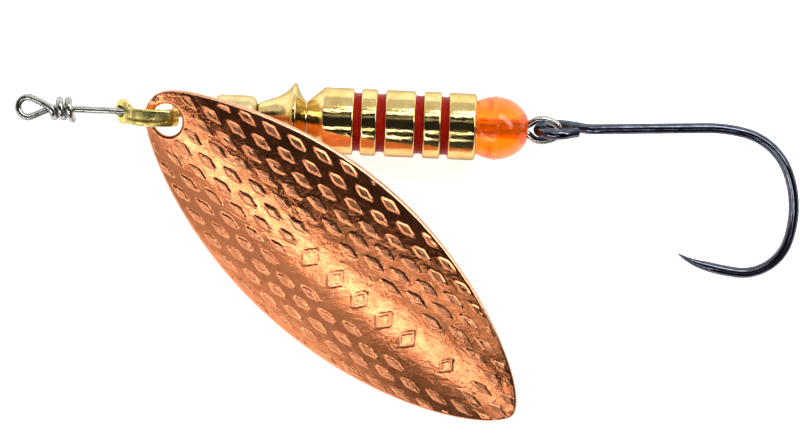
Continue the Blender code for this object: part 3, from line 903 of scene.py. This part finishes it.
def make_hook(finish_used):
    path = hook_path()
    done = lengths_along(path)
    tip = HOOK_POINT_R / (HOOK_WIRE_D / 2)
    radii = [tip + (1 - tip) * min(1.0, (done[-1] - d) / HOOK_POINT_LENGTH) ** 0.75 for d in done]
    lie = rotation(HOOK_YAW, "Z") @ rotation(HOOK_ROLL, "X")
    space = Matrix.Translation(JOINTS["hook_swing"]["pos_m"]) @ lie
    points, faces, values = sweep(path, HOOK_WIRE_D / 2, space, radii)
    piece("hook_look", points, faces, finish_used, "hook", "hook", values, 50)


# Studio

def make_camera():
    data = bpy.data.cameras.new("camera")
    data.lens = CAMERA_LENS
    data.sensor_width = CAMERA_SENSOR
    data.clip_start = 0.01
    data.clip_end = 10
    made = bpy.data.objects.new("camera", data)
    bpy.context.scene.collection.objects.link(made)
    away = VIEW_WIDTH * MM * CAMERA_LENS / CAMERA_SENSOR
    made.location = SHAFT_ORIGIN + Vector((CAMERA_STATION * MM, CAMERA_SIDE * MM, away))
    made.rotation_euler = (0, 0, math.radians(CAMERA_ROLL))
    bpy.context.scene.camera = made


def emitter(name, strength):
    made = bpy.data.materials.new(name)
    made.use_nodes = True
    tree = made.node_tree
    tree.nodes.clear()
    glow = add(tree, "Emission", Color=grey(1), Strength=strength)
    out = add(tree, "OutputMaterial")
    tree.links.new(glow.outputs[0], out.inputs["Surface"])
    return made


def softbox(name, zenith, azimuth, tall, wide, strength):
    """A glowing panel that faces the lure. Its place and size are angles seen from the lure."""
    z, a = math.radians(zenith), math.radians(azimuth)
    out = Vector((math.sin(z) * math.cos(a), math.sin(z) * math.sin(a), math.cos(z)))
    up = Vector((math.cos(z) * math.cos(a), math.cos(z) * math.sin(a), -math.sin(z)))
    across = out.cross(up)
    half_up = up * LIGHT_AWAY * math.tan(math.radians(tall / 2))
    half_across = across * LIGHT_AWAY * math.tan(math.radians(wide / 2))
    middle = out * LIGHT_AWAY
    corners = [middle + half_up * u + half_across * v for u, v in ((1, 1), (-1, 1), (-1, -1), (1, -1))]
    data = bpy.data.meshes.new(name)
    data.from_pydata([tuple(c) for c in corners], [], [(0, 1, 2, 3)])
    data.materials.append(emitter(name, strength))
    made = bpy.data.objects.new(name, data)
    bpy.context.scene.collection.objects.link(made)
    made.visible_camera = False


def make_floor():
    """A plain white table, matt and a little luminous so that shadows stay faint."""
    made, tree, inputs = finish("pale_floor", 0.0)
    grain = noise(tree, place(tree), 3.0, 3.0)
    join(tree, inputs["Base Color"], mix_colour(tree, grain, grey(0.86), grey(0.82)))
    inputs["Roughness"].default_value = 0.7
    inputs["Emission Color"].default_value = (1, 1, 1, 1)
    inputs["Emission Strength"].default_value = FLOOR_GLOW
    size = FLOOR_HALF * MM
    low = CAD_BOX[0].z - FLOOR_DROP * MM
    data = bpy.data.meshes.new("floor")
    data.from_pydata([(-size, -size, low), (size, -size, low), (size, size, low), (-size, size, low)], [],
                     [(0, 1, 2, 3)])
    data.materials.append(made)
    floor = bpy.data.objects.new("floor", data)
    bpy.context.scene.collection.objects.link(floor)


def make_world():
    """Dark overhead and paler towards the horizon, with a pale backdrop for the camera."""
    world = bpy.data.worlds.new("studio")
    bpy.context.scene.world = world
    world.use_nodes = True
    tree = world.node_tree
    direction = add(tree, "TexCoord").outputs["Generated"]
    parts = add(tree, "SeparateXYZ", Vector=direction)
    sides = mix_colour(tree, span(tree, parts.outputs["Y"], -0.5, 0.5), grey(SKY_NEAR), grey(SKY_FAR))
    tone = mix_colour(tree, span(tree, parts.outputs["Z"], 0.1, 0.7), sides, grey(SKY_TOP))
    seen = add(tree, "LightPath").outputs["Is Camera Ray"]
    join(tree, tree.nodes["Background"].inputs["Color"], mix_colour(tree, seen, tone, grey(BACKDROP)))


def main():
    make_camera()
    steel = steel_finish()
    brass = brass_finish("turned_brass", colour(0.86, 0.66, 0.29), colour(0.72, 0.5, 0.17),
                         0.06, 0.17, 0.008)
    satin = brass_finish("satin_brass", colour(0.82, 0.68, 0.36), colour(0.7, 0.54, 0.24),
                         0.28, 0.4, 0.012, 0.08)
    strap = brass_finish("strap_brass", colour(0.88, 0.72, 0.27), colour(0.62, 0.5, 0.15),
                         0.2, 0.38, 0.01, 0.2)
    make_shaft_wire(steel)
    make_clevis(strap)
    make_blade(copper_finish())
    make_bearing_bead(satin)
    make_bell(brass)
    make_body(brass, enamel_finish())
    make_tail_bead(bead_finish())
    make_hook(nickel_finish())
    make_floor()
    make_world()
    for light in LIGHTS:
        softbox(*light)
    bpy.context.scene.view_settings.view_transform = "Standard"


main()
bpy.context.view_layer.update()
